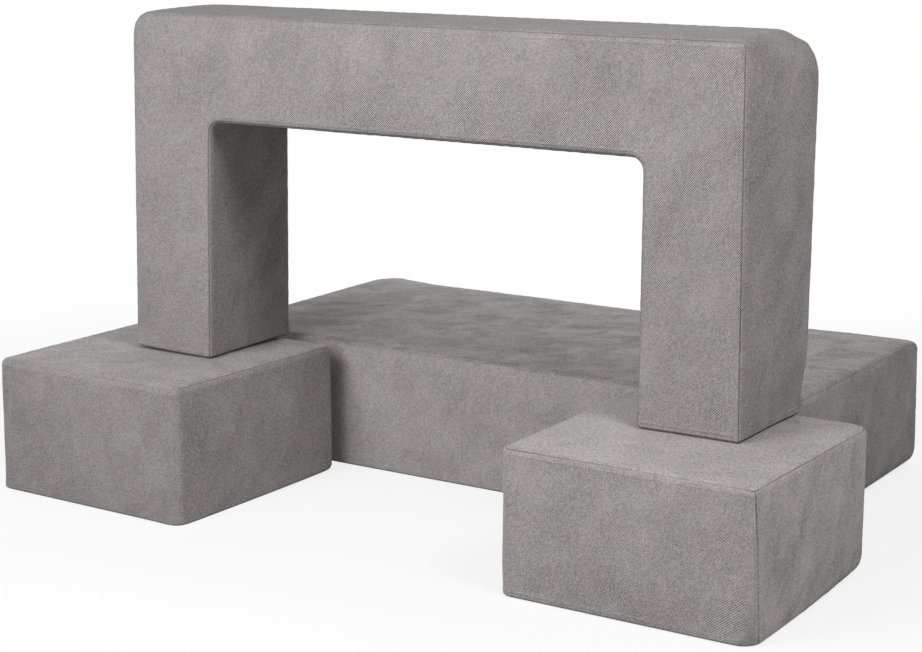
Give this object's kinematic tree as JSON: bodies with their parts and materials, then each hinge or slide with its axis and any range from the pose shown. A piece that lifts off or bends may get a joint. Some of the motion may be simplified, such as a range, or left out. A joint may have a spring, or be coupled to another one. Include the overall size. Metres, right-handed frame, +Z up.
{
  "type": "modular foam play sofa",
  "caption": "Play sofa of loose foam modules in zipped grey covers: a base slab, square blocks before it and a U-shaped arch standing on them.",
  "frame": {"origin": "on the floor, under the middle of the whole group's bounding box", "axes": "+Z up, +X along the arch from its left leg to its right leg as seen from the blocks, +Y from the blocks towards the base"},
  "size_m": [1.74, 1.2632, 1.0013],
  "materials": {
    "cover_fabric": "matte",
    "foam": "matte",
    "zip_tape": "matte",
    "zip_teeth": "satin",
    "zip_metal": "satin"
  },
  "bodies": {
    "base": {"base_foam_core": "foam", "base_cover_top_panel": "cover_fabric", "base_cover_bottom_panel": "cover_fabric", "base_cover_side_band": "cover_fabric", "base_zip_strip_upper": "cover_fabric", "base_zip_strip_lower": "cover_fabric", "base_zip_tape_upper": "zip_tape", "base_zip_tape_lower": "zip_tape", "base_zip_teeth_upper": "zip_teeth", "base_zip_teeth_lower": "zip_teeth"},
    "left_block": {"left_block_foam_core": "foam", "left_block_cover_top_panel": "cover_fabric", "left_block_cover_bottom_panel": "cover_fabric", "left_block_cover_side_band": "cover_fabric", "left_block_zip_strip_upper": "cover_fabric", "left_block_zip_strip_lower": "cover_fabric", "left_block_zip_tape_upper": "zip_tape", "left_block_zip_tape_lower": "zip_tape", "left_block_zip_teeth_upper": "zip_teeth", "left_block_zip_teeth_lower": "zip_teeth"},
    "right_block": {"right_block_foam_core": "foam", "right_block_cover_top_panel": "cover_fabric", "right_block_cover_bottom_panel": "cover_fabric", "right_block_cover_side_band": "cover_fabric", "right_block_zip_strip_upper": "cover_fabric", "right_block_zip_strip_lower": "cover_fabric", "right_block_zip_tape_upper": "zip_tape", "right_block_zip_tape_lower": "zip_tape", "right_block_zip_teeth_upper": "zip_teeth", "right_block_zip_teeth_lower": "zip_teeth"},
    "arch": {"arch_foam_core": "foam", "arch_cover_front_panel": "cover_fabric", "arch_cover_rear_panel_upper": "cover_fabric", "arch_cover_rear_panel_lower": "cover_fabric", "arch_cover_outer_band": "cover_fabric", "arch_cover_inner_band": "cover_fabric", "arch_foot_panel_left": "cover_fabric", "arch_foot_panel_right": "cover_fabric", "arch_zip_tape_upper": "zip_tape", "arch_zip_tape_lower": "zip_tape", "arch_zip_teeth_upper": "zip_teeth", "arch_zip_teeth_lower": "zip_teeth"},
    "base_slider": {"base_zip_slider": "zip_metal"},
    "base_pull": {"base_zip_pull": "zip_metal"},
    "left_block_slider": {"left_block_zip_slider": "zip_metal"},
    "left_block_pull": {"left_block_zip_pull": "zip_metal"},
    "right_block_slider": {"right_block_zip_slider": "zip_metal"},
    "right_block_pull": {"right_block_zip_pull": "zip_metal"},
    "arch_slider": {"arch_zip_slider": "zip_metal"},
    "arch_pull": {"arch_zip_pull": "zip_metal"}
  },
  "joints": [
    {"name": "arch_lift_off", "type": "slide", "parent": "base", "child": "arch", "axis": [0, 0, 1], "range_m": [0, 0.4]},
    {"name": "left_block_pull_out", "type": "slide", "parent": "base", "child": "left_block", "axis": [0, -1, 0], "range_m": [0, 0.55]},
    {"name": "right_block_pull_out", "type": "slide", "parent": "base", "child": "right_block", "axis": [0, -1, 0], "range_m": [0, 0.55]},
    {"name": "base_zip_open", "type": "slide", "parent": "base", "child": "base_slider", "axis": [-1, 0, 0], "range_m": [0, 1.307]},
    {"name": "base_pull_turn", "type": "hinge", "parent": "base_slider", "child": "base_pull", "pos_m": [0.6365, 0.62945, 0.14], "axis": [0, 0, 1], "range_deg": [0, 180]},
    {"name": "left_block_zip_open", "type": "slide", "parent": "left_block", "child": "left_block_slider", "axis": [-1, 0, 0], "range_m": [0, 0.407]},
    {"name": "left_block_pull_turn", "type": "hinge", "parent": "left_block_slider", "child": "left_block_pull", "pos_m": [-0.4125, -0.12555, 0.14], "axis": [0, 0, 1], "range_deg": [0, 180]},
    {"name": "right_block_zip_open", "type": "slide", "parent": "right_block", "child": "right_block_slider", "axis": [-1, 0, 0], "range_m": [0, 0.407]},
    {"name": "right_block_pull_turn", "type": "hinge", "parent": "right_block_slider", "child": "right_block_pull", "pos_m": [0.8195, -0.12555, 0.14], "axis": [0, 0, 1], "range_deg": [0, 180]},
    {"name": "arch_zip_open", "type": "slide", "parent": "arch", "child": "arch_slider", "axis": [-1, 0, 0], "range_m": [0, 1.307]},
    {"name": "arch_pull_turn", "type": "hinge", "parent": "arch_slider", "child": "arch_pull", "pos_m": [0.6775, -0.12055, 0.8923], "axis": [0, 0, 1], "range_deg": [0, 180]}
  ]
}
